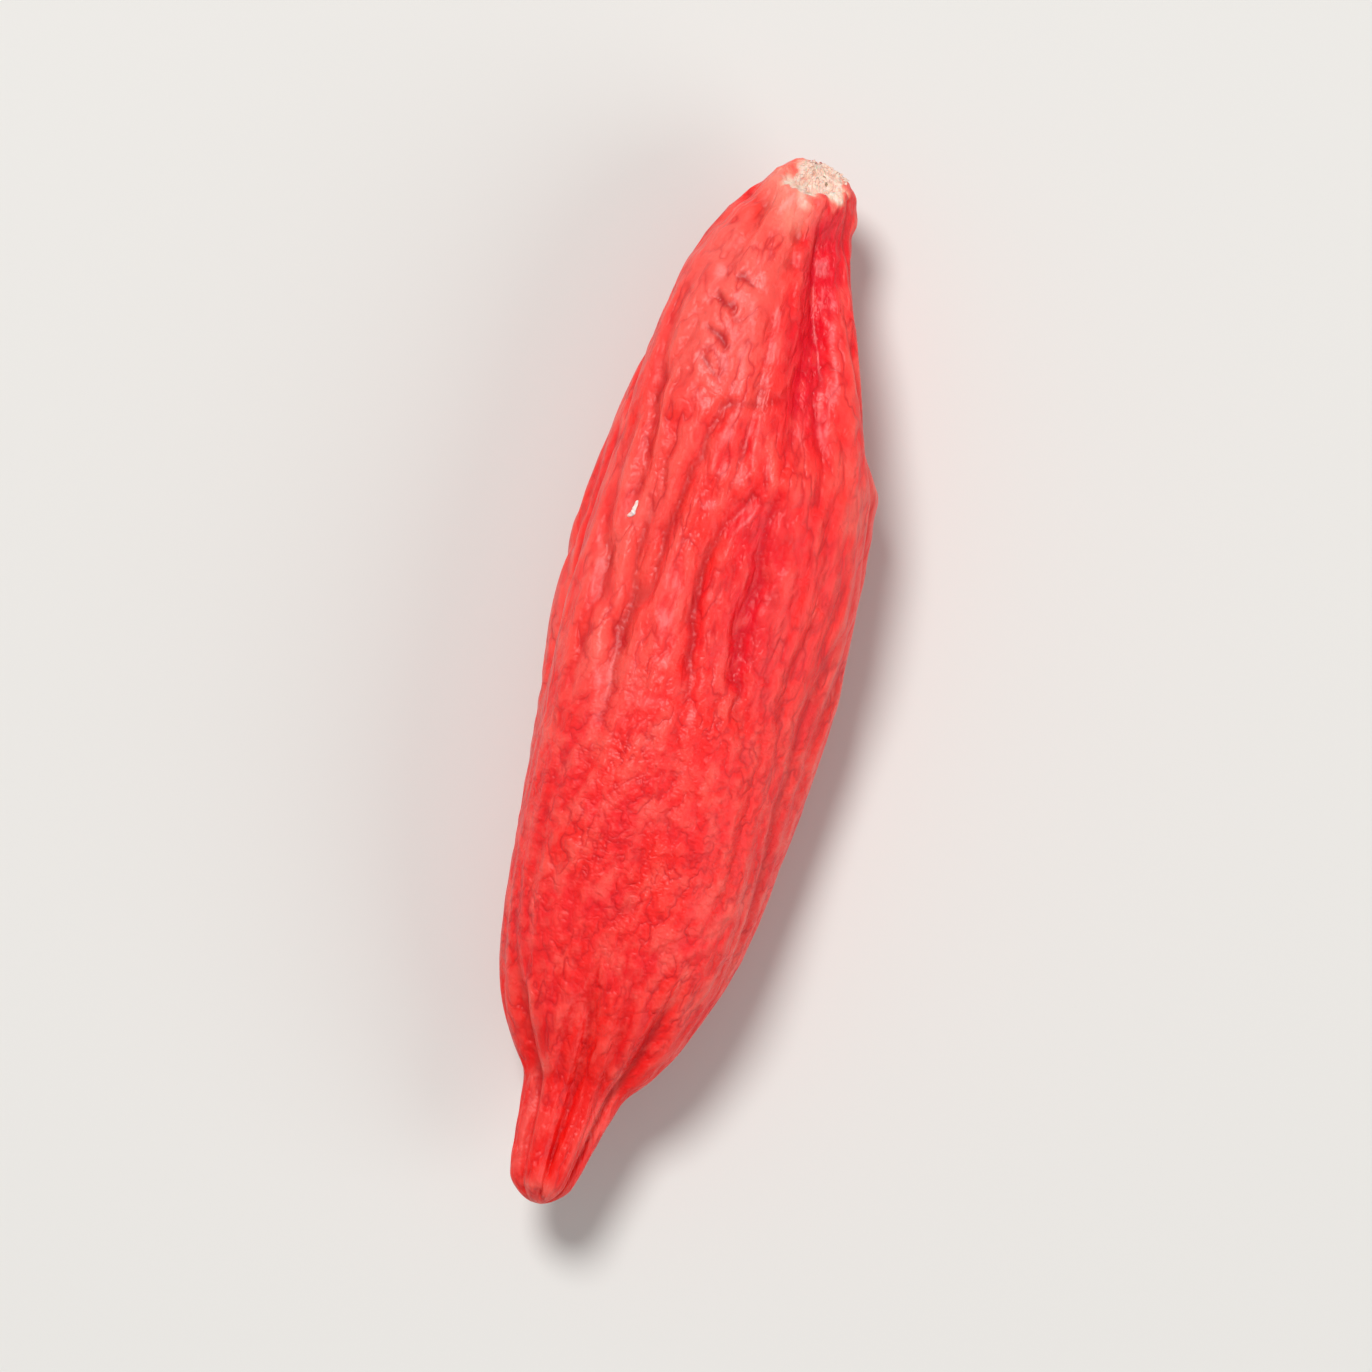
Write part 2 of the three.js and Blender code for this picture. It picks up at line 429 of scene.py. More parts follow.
@dataclass(frozen=True)
class Mark:
    """A long mark on the berry's upper side: its middle and size, in millimetres, and its turn.

    At a turn of 0 degrees it runs across the berry, and at 90 along it. It fades towards its ends
    between two shares of its length, counted from its middle.
    """

    station: float
    side: float
    turn: float
    length: float
    width: float
    strength: float = 1.0

    FADING = (0.3, 0.6)

    def share(self, places: Places) -> np.ndarray:
        """Finds how much of the mark each point has, from its strength at the middle down to 0."""
        along, across = places["wavy_station"] - self.station, places["wavy_side"] - self.side
        turn = math.radians(self.turn)
        run = across * math.cos(turn) + along * math.sin(turn)
        off = along * math.cos(turn) - across * math.sin(turn)
        ends = 1 - smooth_step(np.abs(run), self.FADING[0] * self.length, self.FADING[1] * self.length)
        return self.strength * np.exp(-(off / self.width) ** 2) * ends * places["upper"]


def add_object(name: str, data: bpy.types.ID) -> bpy.types.Object:
    """Adds an object with that data to the scene."""
    made = bpy.data.objects.new(name, data)
    bpy.context.scene.collection.objects.link(made)
    return made


def clear_material(name: str) -> bpy.types.Material:
    """Makes a material whose node tree is empty."""
    material = bpy.data.materials.new(name)
    material.use_nodes = True
    material.node_tree.nodes.clear()
    return material


def lay_over(tree: Tree, share: Any, under: Any, over: Any) -> Socket:
    """Lays one colour over another by a share from 0 to 1 and returns the mixed colour's socket."""
    mix = add_node(tree, "ShaderNodeMix", {"data_type": "RGBA"}, {0: share, 6: under, 7: over})
    return mix.outputs[2]


def multiply(tree: Tree, value: Any, factor: Any) -> Socket:
    """Multiplies a value by a factor and returns the product's socket."""
    return add_node(tree, "ShaderNodeMath", {"operation": "MULTIPLY"}, {0: value, 1: factor}).outputs[0]


@dataclass(frozen=True)
class Ramp:
    """Turns values between two bounds to values between two others, and goes no further."""

    start: float
    end: float
    low: float = 0.0
    high: float = 1.0

    def add(self, tree: Tree, value: Socket) -> Socket:
        """Adds the ramp to a tree and returns its socket."""
        return add_node(tree, "ShaderNodeMapRange", None, {
            "Value": value, "From Min": self.start, "From Max": self.end,
            "To Min": self.low, "To Max": self.high}).outputs[0]


@dataclass(frozen=True)
class Pattern:
    """A soft random pattern with blotches of one size, in millimetres, and finer ones in them.

    With a stretch, it follows the skin as it was before it dried, and is drawn out that many times
    along the berry. Without one, it is the same in every direction.
    """

    size: float
    detail: float = 2.0
    stretch: float | None = None
    finer_share: float = 0.55

    def add(self, tree: Tree) -> Socket:
        """Adds the pattern to a tree and returns the socket of its values, which lie round 0.5."""
        if self.stretch is None:
            size = self.size * MM
            places = add_node(tree, "ShaderNodeTexCoord").outputs["Object"]
        else:
            size = self.size
            flow = add_node(tree, "ShaderNodeAttribute", {"attribute_name": FLOW_MAP}).outputs["Vector"]
            places = add_node(tree, "ShaderNodeMapping", None, {
                "Vector": flow, "Scale": (1.0, 1 / self.stretch, 1.0)}).outputs[0]
        return add_node(tree, "ShaderNodeTexNoise", None, {
            "Vector": places, "Scale": 1 / size, "Detail": self.detail,
            "Roughness": self.finer_share}).outputs["Fac"]


@dataclass(frozen=True)
class SkinFinish:
    """The dried skin of a goji berry: thin, waxy, slightly see-through fruit skin over dry pulp.

    Thin skin over sugary pulp lets light in, and red light travels far in it, so even its creases
    stay red. Painted light lies in its colours too: the crests' coral is partly a lighter bloom and
    partly a painted highlight, the creases' deeper red is partly its own and partly painted shade,
    and other layers paint shade into hollows, strips and ticks and highlights onto streaked lines,
    crinkle tops, the lit upper left, the nub's edges and a few patches. The wax gives it a broad,
    soft shine. A share says how thickly a colour is laid on where its layer is full, or turns a
    pattern's values to that.
    Sizes are in millimetres.
    """

    body: str = "#f62a25"
    # Partly a lighter bloom and partly a painted highlight on the crests; it also paints the streaked
    # highlights and the crinkle tops.
    crest_bloom_and_highlight: str = "#ff695d"
    crest_highlight_share: float = 0.6
    # Deeper red in the creases, partly the skin's own colour and partly painted shade; it also paints
    # the ticks.
    crease_shade: str = "#b4040f"
    crease_shade_share: float = 0.72
    # How strongly the ticks' nicks are painted with the creases' dark red, as painted shade.
    tick_shade_share: float = 0.9
    # Deep red for the random mottle, the skin's own tone, and for the painted shade in broad hollows.
    deep_red_and_hollow_shade: str = "#e80f27"
    hollow_shade_share: float = 0.45
    # Crimson painted shade in two strips right of the middle, where the surface turns away from the
    # light.
    shade_band: str = "#df0425"
    shade_band_share: float = 0.86
    nub: str = "#e6110a"
    nub_share: float = 0.8
    # Coral of the painted light on the upper left swelling, the nub's edges and the highlight patches.
    lit_lobe: str = "#f1675c"
    painted_highlight_share: float = 0.72
    mottle: Pattern = Pattern(0.9, 4.0)
    mottle_share: Ramp = Ramp(0.38, 0.66, 0.0, 0.5)
    # Painted highlights: thin lighter lines drawn out along the berry, in the crests' colour.
    highlight_streaks: Pattern = Pattern(0.34, 3.0, 3.2)
    highlight_streak_share: Ramp = Ramp(0.48, 0.72, 0.0, 0.6)
    crinkles: Pattern = Pattern(0.34, 2.0, 2.6)
    crinkle_height: float = 0.028
    shrivels: Pattern = Pattern(0.22, 2.0, 1.5)
    shrivel_height: float = 0.013
    ridge_height: Ramp = Ramp(0.0, 0.16)
    # Painted highlight on the crinkles' tops.
    ridge_highlight_share: Ramp = Ramp(0.6, 1.0, 0.0, 0.2)
    grain: Pattern = Pattern(0.055)
    grain_height: float = 0.004
    # Painted shade in the creases of the bumped crinkles, stronger in some places.
    crinkle_crease_shade: str = "#c60918"
    crinkle_crease_shade_share: Ramp = Ramp(0.34, 0.0)
    crinkle_shade_areas: Pattern = Pattern(0.72, 2.0, 1.6)
    crinkle_shade_area_share: Ramp = Ramp(0.4, 0.6, 0.12, 0.68)
    pith_edge: str = "#f8937f"
    pith_edge_share: Ramp = Ramp(0.05, 0.5, 0.0, 0.9)
    pith: str = "#ffdac8"
    pith_share: Ramp = Ramp(0.45, 0.85)
    pith_shade: str = "#efb59c"
    pith_shading: Pattern = Pattern(0.16)
    pith_shade_share: Ramp = Ramp(0.45, 0.7, 0.0, 0.8)
    roughness: Ramp = Ramp(0.3, 0.7, 0.35, 0.51)
    shine: float = 0.3
    ior: float = 1.42
    wax: float = 0.2
    wax_roughness: float = 0.31
    wax_ior: float = 1.44
    scatter: float = 0.55
    scatter_tint: Triple = (1.0, 0.22, 0.16)
    scatter_reach: float = 0.32

    def make(self) -> bpy.types.Material:
        """Builds the material and returns it."""
        material = clear_material("dried_goji_skin")
        tree = material.node_tree
        layers = {
            layer: add_node(tree, "ShaderNodeAttribute", {"attribute_name": layer.value}).outputs["Fac"]
            for layer in Layer
        }
        mottle = self.mottle.add(tree)
        crinkles, shrivels = self._ridges(tree, self.crinkles), self._ridges(tree, self.shrivels)
        colour = self._colour_parts(tree, mottle, layers)
        colour = self._colour_crinkles(tree, colour, crinkles)
        colour = self._colour_scar(tree, colour, layers[Layer.SCAR])
        shader = add_node(tree, "ShaderNodeBsdfPrincipled", {"subsurface_method": "RANDOM_WALK"}, {
            "Base Color": colour, "Normal": self._relief(tree, crinkles, shrivels),
            "Roughness": self.roughness.add(tree, mottle), "IOR": self.ior,
            "Specular IOR Level": self.shine, "Coat Weight": self.wax,
            "Coat Roughness": self.wax_roughness, "Coat IOR": self.wax_ior,
            "Subsurface Weight": self.scatter, "Subsurface Radius": self.scatter_tint,
            "Subsurface Scale": self.scatter_reach * MM})
        add_node(tree, "ShaderNodeOutputMaterial", None, {"Surface": shader.outputs[0]})
        return material

    def _colour_parts(self, tree: Tree, mottle: Socket, layers: dict[Layer, Socket]) -> Socket:
        """Lays the mottle, the streaked painted highlights and the layers' colours, most of them
        painted shade and painted highlights, over the body's colour.
        """
        colour = lay_over(tree, self.mottle_share.add(tree, mottle), srgb(self.body), srgb(self.deep_red_and_hollow_shade))
        highlight_streaks = self.highlight_streak_share.add(tree, self.highlight_streaks.add(tree))
        colour = lay_over(tree, highlight_streaks, colour, srgb(self.crest_bloom_and_highlight))
        # Most of these are painted light and shade; the nub's orange-red is its own colour.
        coats = (
            (Layer.PAINTED_HIGHLIGHT, self.painted_highlight_share, self.lit_lobe),
            (Layer.HOLLOW_SHADE, self.hollow_shade_share, self.deep_red_and_hollow_shade),
            (Layer.NUB, self.nub_share, self.nub),
            (Layer.CREST_HIGHLIGHT, self.crest_highlight_share, self.crest_bloom_and_highlight),
            (Layer.CREASE, self.crease_shade_share, self.crease_shade),
            (Layer.SHADE_BAND, self.shade_band_share, self.shade_band),
            # Painted shade in the ticks' nicks.
            (Layer.TICK, self.tick_shade_share, self.crease_shade),
        )
        for layer, share, shade in coats:
            colour = lay_over(tree, multiply(tree, layers[layer], share), colour, srgb(shade))
        return colour

    def _colour_crinkles(self, tree: Tree, colour: Socket, crinkles: Socket) -> Socket:
        """Paints shade into the creases between the crinkles, more in some places, and paints
        highlights on their tops.
        """
        crinkle_shade_areas_mask = self.crinkle_shade_area_share.add(tree, self.crinkle_shade_areas.add(tree))
        crinkle_crease_shades = multiply(tree, self.crinkle_crease_shade_share.add(tree, crinkles), crinkle_shade_areas_mask)
        colour = lay_over(tree, crinkle_crease_shades, colour, srgb(self.crinkle_crease_shade))
        return lay_over(tree, self.ridge_highlight_share.add(tree, crinkles), colour, srgb(self.crest_bloom_and_highlight))

    def _colour_scar(self, tree: Tree, colour: Socket, scar: Socket) -> Socket:
        """Lays a pale edge and the shaded pith over the colour, where the scar's layer says."""
        shade = self.pith_shade_share.add(tree, self.pith_shading.add(tree))
        pith = lay_over(tree, shade, srgb(self.pith), srgb(self.pith_shade))
        colour = lay_over(tree, self.pith_edge_share.add(tree, scar), colour, srgb(self.pith_edge))
        return lay_over(tree, self.pith_share.add(tree, scar), colour, pith)

    def _ridges(self, tree: Tree, pattern: Pattern) -> Socket:
        """Folds a pattern at its middle, into ridges from 0 to 1 with sharp creases between them."""
        values = pattern.add(tree)
        centred = add_node(tree, "ShaderNodeMath", {"operation": "SUBTRACT"}, {0: values, 1: 0.5})
        folded = add_node(tree, "ShaderNodeMath", {"operation": "ABSOLUTE"}, {0: centred.outputs[0]})
        return self.ridge_height.add(tree, folded.outputs[0])

    def _relief(self, tree: Tree, crinkles: Socket, shrivels: Socket) -> Socket:
        """Stacks the crinkles, the finer shrivels and the grain into one bumped normal."""
        below: dict[str, Socket] = {}
        for height, depth in ((crinkles, self.crinkle_height), (shrivels, self.shrivel_height),
                              (self.grain.add(tree), self.grain_height)):
            bump = add_node(tree, "ShaderNodeBump", None, {
                "Height": height, "Strength": 1.0, "Distance": depth * MM, **below})
            below = {"Normal": bump.outputs[0]}
        return below["Normal"]


@dataclass(frozen=True)
class CrumbFinish:
    """Crumbs on the skin: dry stalk pith, dry stalk fibre, or sugar that has come through the skin.

    All are matt and let a little light in, so they have no hard edge. The pith is cream with
    browner crumbs among it, the fibre is brown and the sugar whitish. Sizes are in millimetres.
    """

    name: str
    pale: str
    dark: str
    roughness: float
    shading: Pattern = Pattern(0.12, 3.0, finer_share=0.5)
    dark_share: Ramp = Ramp(0.45, 0.75)
    bump_strength: float = 0.6
    bump_height: float = 0.01
    scatter: float = 0.4
    scatter_tint: Triple = (1.0, 0.7, 0.5)
    scatter_reach: float = 0.05

    def make(self) -> bpy.types.Material:
        """Builds the material and returns it."""
        material = clear_material(self.name)
        tree = material.node_tree
        shading = self.shading.add(tree)
        colour = lay_over(tree, self.dark_share.add(tree, shading), srgb(self.pale), srgb(self.dark))
        bump = add_node(tree, "ShaderNodeBump", None, {
            "Height": shading, "Strength": self.bump_strength, "Distance": self.bump_height * MM})
        shader = add_node(tree, "ShaderNodeBsdfPrincipled", None, {
            "Base Color": colour, "Normal": bump.outputs[0], "Roughness": self.roughness,
            "Subsurface Weight": self.scatter, "Subsurface Radius": self.scatter_tint,
            "Subsurface Scale": self.scatter_reach * MM})
        add_node(tree, "ShaderNodeOutputMaterial", None, {"Surface": shader.outputs[0]})
        return material


@dataclass(frozen=True)
class FloorFinish:
    """Matt painted board under the berry: plain and pale, so the berry's own colour reads true."""

    colour: str = "#d8d6d2"
    roughness: float = 0.85

    def make(self) -> bpy.types.Material:
        """Builds the material and returns it."""
        material = bpy.data.materials.new("matt_painted_board")
        material.use_nodes = True
        shader = material.node_tree.nodes["Principled BSDF"]
        shader.inputs["Base Color"].default_value = srgb(self.colour)
        shader.inputs["Roughness"].default_value = self.roughness
        return material


@dataclass(frozen=True)
class Parts:
    """Where the berry's parts lie, in millimetres.

    Stations run down the berry from its stalk end, sides to its right, and rises up from its
    middle. A span runs from where a part begins or ends to where it has done so fully.
    """

    centre_height: float = 1.69
    upper_rise: Pair = (-0.3, 0.6)
    station_waves: Grain = Grain(0.03, 0.5, 6)
    side_waves: Grain = Grain(0.03, 0.7, 7)
    scar_place: Triple = (-0.02, 8.64, 2.21)
    scar_radius: float = 0.5
    scar_raggedness: tuple[Grain, ...] = (Grain(0.09, 0.6, 8), Grain(0.05, 0.22, 9))
    skin_start: Pair = (0.55, 1.1)
    # The upper left swelling faces the key light; its lighter colour is painted light.
    lobe_middle: Pair = (2.7, -0.95)
    lobe_reach: Pair = (1.7, 0.85)
    lower_start: Pair = (8.0, 10.0)
    lower_end: Pair = (13.6, 14.6)
    nub_start: Pair = (13.8, 15.0)
    flank_side: Pair = (0.9, 1.5)
    flank_start: Pair = (4.0, 5.2)
    patch_size: Pair = (14.0, 10.0)
    patch_seed: int = 3
    ticks: tuple[Mark, ...] = (
        Mark(2.24, -0.68, 36, 0.46, 0.055, 0.8), Mark(2.7, -0.92, 30, 0.58, 0.06, 0.9),
        Mark(3.24, -0.94, 34, 0.66, 0.06), Mark(3.72, -0.98, 40, 0.5, 0.055, 0.8),
        Mark(4.16, -0.1, -28, 1.1, 0.12, 0.5))

    def find(self, plump: np.ndarray) -> Places:
        """Finds how far each point is along, across and up the berry, and which parts it is in.

        Args:
            plump: The surface before it dries, in millimetres.

        Returns:
            Named grids. Stations, sides and the rise are in millimetres, the scar's grid is the
            distance from its middle in its radii, and the others are shares from about 0 to 1.
        """
        station = plump[..., 1].max() - plump[..., 1]
        side = plump[..., 0]
        rise = plump[..., 2] - self.centre_height
        upper = smooth_step(rise, *self.upper_rise)
        from_scar = lengths(plump - np.array(self.scar_place))[..., 0]
        ragged = sum(grain.at(plump) for grain in self.scar_raggedness)
        down_lobe = (station - self.lobe_middle[0]) / self.lobe_reach[0]
        across_lobe = (side - self.lobe_middle[1]) / self.lobe_reach[1]
        places = {
            "station": station,
            "side": side,
            "rise": rise,
            "wavy_station": station + self.station_waves.at(plump),
            "wavy_side": side + self.side_waves.at(plump),
            "scar": (from_scar + ragged) / self.scar_radius,
            "upper": upper,
            "skin": smooth_step(from_scar, *self.skin_start),
            "lit_lobe": np.exp(-down_lobe ** 4 - across_lobe ** 4) * upper,
            "lower": (smooth_step(station, *self.lower_start)
                      * (1 - smooth_step(station, *self.lower_end))),
            "nub": smooth_step(station, *self.nub_start),
            "flank": (smooth_step(side, *self.flank_side)
                      * smooth_step(station, *self.flank_start) * upper),
            "patch": 0.5 + 0.5 * np.tanh(blotches(plump.shape[:2], *self.patch_size, self.patch_seed)),
        }
        places["tick"] = sum(tick.share(places) for tick in self.ticks)
        return places


@dataclass(frozen=True)
class ScarRelief:
    """The scar's crumbly seat and the low lip of torn skin round it.

    Heights and grains are in millimetres. Distances from the scar's middle are in its radii.
    """

    seat_edge: Pair = (0.8, 1.0)
    seat_depth: float = 0.01
    crumbling: tuple[Grain, ...] = (Grain(0.016, 0.25, 21), Grain(0.008, 0.12, 22))
    lip_radius: float = 1.1
    lip_width: float = 0.14
    lip_height: float = 0.03

    def add_to(self, skin: np.ndarray, places: Places) -> np.ndarray:
        """Breaks up the dried surface at the scar and returns it."""
        inside = 1 - smooth_step(places["scar"], *self.seat_edge)
        lip = np.exp(-((places["scar"] - self.lip_radius) / self.lip_width) ** 2)
        height = inside * (sum(grain.at(skin) for grain in self.crumbling) - self.seat_depth)
        return skin + outward(skin) * (height + self.lip_height * lip)[..., None]


@dataclass(frozen=True)
class FlowMap:
    """The skin laid out as it was before it dried, in millimetres, a little plumper at its ends.

    The lower half is laid out longer than it was, so that patterns drawn out along the berry
    come out rounder there.
    """

    plumpness: float = 1.28
    plump_power: float = 0.7
    least_radius: float = 0.01
    added_length: float = 4.4
    added_span: Pair = (8.0, 15.0)

    def lay_out(self, places: Places) -> np.ndarray:
        """Gives each point of the grid its place on the skin before it dried."""
        turn = np.arctan2(places["rise"], places["side"])
        radius = np.hypot(places["side"], places["rise"]).mean(axis=1, keepdims=True)
        plump = self.plumpness * np.maximum(radius, self.least_radius) ** self.plump_power
        added = self.added_length * smooth_step(places["station"], *self.added_span)
        station = places["station"] + added
        return np.stack([plump * np.cos(turn), station, plump * np.sin(turn)], axis=-1)


@dataclass(frozen=True)
class Shading:
    """Where the material's layers lie: on the skin's relief, on the berry's parts and on marks.

    Most layers hold painted light: painted shade in the broad hollows, the strips and the ticks, and
    in part in the creases; painted highlights on the lit upper left, the nub's edges and a few
    patches, and in part on the crests. A blur is counted in points of the grid, along and round the
    berry. The scar's edge is in its radii, and the other sizes are in millimetres.
    """

    near_blur: Pair = (3.0, 4.0)
    broad_blur: Pair = (12.0, 16.0)
    # Depths over which the creases take their partly painted shade.
    crease_depth: Pair = (0.005, 0.07)
    # Heights over which the crests take their partly painted highlight.
    crest_height: Pair = (0.005, 0.08)
    # Depths over which broad hollows take painted shade.
    hollow_depth: Pair = (0.02, 0.16)
    scar_edge: Pair = (0.6, 1.3)
    scar_tongue: Mark = Mark(0.62, -0.2, 62, 0.75, 0.15, 0.6)
    scar_fading: Mark = Mark(0.65, -0.45, 60, 1.6, 0.42, 0.4)
    # Painted shade: two crimson strips right of the middle, where the surface turns away from the
    # light.
    shade_bands: tuple[Mark, ...] = (Mark(2.5, 0.55, 84, 4.2, 0.42), Mark(7.2, 0.7, 86, 3.4, 0.6, 0.7))
    # Painted highlights: a lighter strip on the left middle and a glint on the right bulge.
    highlight_patches: tuple[Mark, ...] = (Mark(7.3, -1.35, 88, 5.0, 0.7, 0.5), Mark(5.4, 2.0, 80, 0.9, 0.22, 0.9))
    nub_start: Pair = (13.4, 15.6)
    # Painted highlights along the nub's edges and across its tip.
    nub_rim_highlights: tuple[Mark, ...] = (Mark(16.3, -0.72, 90, 2.4, 0.15), Mark(15.9, 0.44, 100, 1.5, 0.12),
                                  Mark(17.4, -0.25, 0, 0.9, 0.16))
    # How far the painted highlights take the place of the nub's own orange-red.
    rim_highlight_strength: float = 0.85

    def layers(self, skin: np.ndarray, places: Places) -> dict[Layer, np.ndarray]:
        """Works out the values that drive the material.

        Args:
            skin: The dried surface, in millimetres.
            places: The grids of the berry's parts.

        Returns:
            A grid of values from 0 to 1 for each layer.
        """
        facing = outward(skin)
        once = blur(skin, *self.near_blur)
        near = ((skin - once) * facing).sum(axis=-1)
        broad = ((once - blur(skin, *self.broad_blur)) * facing).sum(axis=-1)
        # Painted highlights on the nub's edges.
        rim_highlights = np.maximum.reduce([rim_highlight.share(places) for rim_highlight in self.nub_rim_highlights])
        scar = 1 - smooth_step(places["scar"], *self.scar_edge)
        highlight_patches = [highlight_patch.share(places) for highlight_patch in self.highlight_patches]
        return {
            # Partly painted shade: the creases darken with their depth.
            Layer.CREASE: smooth_step(-near, *self.crease_depth),
            # Partly painted highlight: the crests pale with their height.
            Layer.CREST_HIGHLIGHT: smooth_step(near, *self.crest_height),
            # Painted shade: broad hollows darken with their depth.
            Layer.HOLLOW_SHADE: smooth_step(-broad, *self.hollow_depth),
            # Painted shade in the strips right of the middle.
            Layer.SHADE_BAND: np.clip(sum(shade_band.share(places) for shade_band in self.shade_bands), 0, 1),
            Layer.TICK: np.clip(places["tick"], 0, 1),
            Layer.SCAR: np.maximum.reduce([
                scar, self.scar_tongue.share(places), self.scar_fading.share(places)]),
            # The nub's own orange-red, giving way where its edges carry painted highlights.
            Layer.NUB: smooth_step(places["station"], *self.nub_start) * (1 - self.rim_highlight_strength * rim_highlights),
            # Painted light: the lit upper left swelling, the nub's edges and the highlight patches.
            Layer.PAINTED_HIGHLIGHT: np.maximum.reduce([places["lit_lobe"], rim_highlights, *highlight_patches]),
        }


@dataclass
class BerrySkin:
    """The whole wrinkled fruit as one closed skin, which stands for the solid.

    The calming and the last smoothing are counted in points of the grid. The lower half and the
    right flank are the skin's calm parts.
    """

    node: bpy.types.Object
    parts: Parts = Parts()
    scar: ScarRelief = ScarRelief()
    flow: FlowMap = FlowMap()
    shading: Shading = Shading()
    finish: SkinFinish = SkinFinish()
    wrinkling: Drying = Drying(
        spacing=13.0, rounds=700, start_depth=0.012, seed=11, unevenness=0.12,
        spare_round=Shares(0.07, patch=0.025, lit_lobe=-0.045, lower=-0.02, nub=0.03),
        spare_along=Shares(0.016, lower=0.016), nub_stiffness=1.0,
        fineness=Shares(1.0, lower=0.15, nub=-0.4))
    crinkling: Drying = Drying(
        spacing=6.4, rounds=320, start_depth=0.004, seed=12, bend_pull=0.003,
        hold_inwards=0.9, hold_outwards=1.3, slide_pull=0.008,
        spare_round=Shares(0.03, patch=0.025, lit_lobe=-0.01, nub=0.02),
        spare_along=Shares(0.026, lower=0.012), nub_stiffness=0.8,
        fineness=Shares(1.0, lower=-0.1, nub=-0.3))
    flank_calm: float = 0.9
    calming: Pair = (6.0, 12.0)
    calming_share: float = 0.75
    nub_calming_share: float = 0.3
    tick_depth: float = 0.034
    relief_share: float = 0.9
    calm_relief_share: float = 0.5
    last_smoothing: float = 0.75

    def build(self) -> bpy.types.Object:
        """Makes the skin's mesh with its relief, layers and material.

        Returns:
            The finished piece, riding on the berry's body.
        """
        plump = RingGrid(self.node).fine() / MM
        places = self.parts.find(plump)
        skin = self.scar.add_to(self._dry(plump, places), places)
        log.info("dried skin: %d by %d points", *skin.shape[:2])
        piece = self._mesh(skin * MM, self.shading.layers(skin, places), self.flow.lay_out(places))
        piece.data.materials.append(self.finish.make())
        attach(piece, BODY)
        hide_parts(BERRY_NODE)
        return piece

    def _dry(self, plump: np.ndarray, places: Places) -> np.ndarray:
        """Calms the solid's smallest grooves, nicks the ticks, and dries the skin in two stages.

        The first stage makes its wrinkles, and the second the fine crinkles between them.

        Args:
            plump: The surface before it dries, in millimetres.
            places: The grids of the berry's parts.

        Returns:
            The dried surface, in millimetres.
        """
        skin, lower, nub = (places[name] for name in ("skin", "lower", "nub"))
        calm = np.maximum(lower, self.flank_calm * places["flank"])
        once = blur(plump, *self.calming)
        even = 2 * once - blur(once, *self.calming)
        even_share = self.calming_share * calm * (1 - nub) + self.nub_calming_share * nub * skin
        calmed = plump + (even - plump) * even_share[..., None]
        nicked = calmed - outward(calmed) * (self.tick_depth * places["tick"])[..., None]
        crinkled = self.crinkling.run(self.wrinkling.run(nicked, places), places)
        share = self.relief_share + (self.calm_relief_share - self.relief_share) * calm
        dried = nicked + (crinkled - nicked) * share[..., None]
        smooth = blur(dried, self.last_smoothing, self.last_smoothing)
        fixed = self.wrinkling.fixed_rings
        smooth[:fixed], smooth[-fixed:] = dried[:fixed], dried[-fixed:]
        smooth[..., 2] = np.maximum(smooth[..., 2], 0)
        return smooth

    def _mesh(self, points: np.ndarray, layers: dict[Layer, np.ndarray],
              flow: np.ndarray) -> bpy.types.Object:
        """Joins the rings of points to a closed mesh.

        Args:
            points: Points by ring and point round, in metres. The first and last ring are the poles.
            layers: Values for the material, on the same grid.
            flow: Places on the skin before it dried, on the same grid.

        Returns:
            The mesh's object, at the origin.
        """
        mesh = bpy.data.meshes.new("berry_skin")
        mesh.from_pydata(self._by_vertex(points).tolist(), [], self._faces(*points.shape[:2]))
        for layer, values in layers.items():
            attribute = mesh.attributes.new(layer.value, "FLOAT", "POINT")
            attribute.data.foreach_set("value", self._by_vertex(values).astype(np.float32))
        attribute = mesh.attributes.new(FLOW_MAP, "FLOAT_VECTOR", "POINT")
        attribute.data.foreach_set("vector", self._by_vertex(flow).astype(np.float32).ravel())
        mesh.shade_smooth()
        piece = add_object("berry_skin", mesh)
        self._face_outwards(mesh)
        return piece

    @staticmethod
    def _by_vertex(values: np.ndarray) -> np.ndarray:
        """Puts a grid's values in the order of the mesh's vertices: the rings, then the two poles."""
        rings = values[1:-1].reshape(-1, *values.shape[2:])
        return np.concatenate([rings, values[0, :1], values[-1, :1]])

    @staticmethod
    def _faces(rings: int, around: int) -> list[tuple[int, ...]]:
        """Lists the vertices of each face: quads between the rings, and triangles at the poles."""
        here = np.arange(around)
        after = (here + 1) % around
        last = (rings - 3) * around
        faces: list[tuple[int, ...]] = []
        for low in range(0, last, around):
            high = low + around
            faces += zip((low + here).tolist(), (low + after).tolist(), (high + after).tolist(),
                         (high + here).tolist())
        tip, end = last + around, last + around + 1
        faces += zip(after.tolist(), here.tolist(), [tip] * around)
        faces += zip((last + here).tolist(), (last + after).tolist(), [end] * around)
        return faces

    @staticmethod
    def _face_outwards(mesh: bpy.types.Mesh) -> None:
        """Turns the faces outwards."""
        shell = bmesh.new()
        shell.from_mesh(mesh)
        if shell.calc_volume(signed=True) < 0:
            bmesh.ops.reverse_faces(shell, faces=shell.faces)
        shell.to_mesh(mesh)
        shell.free()


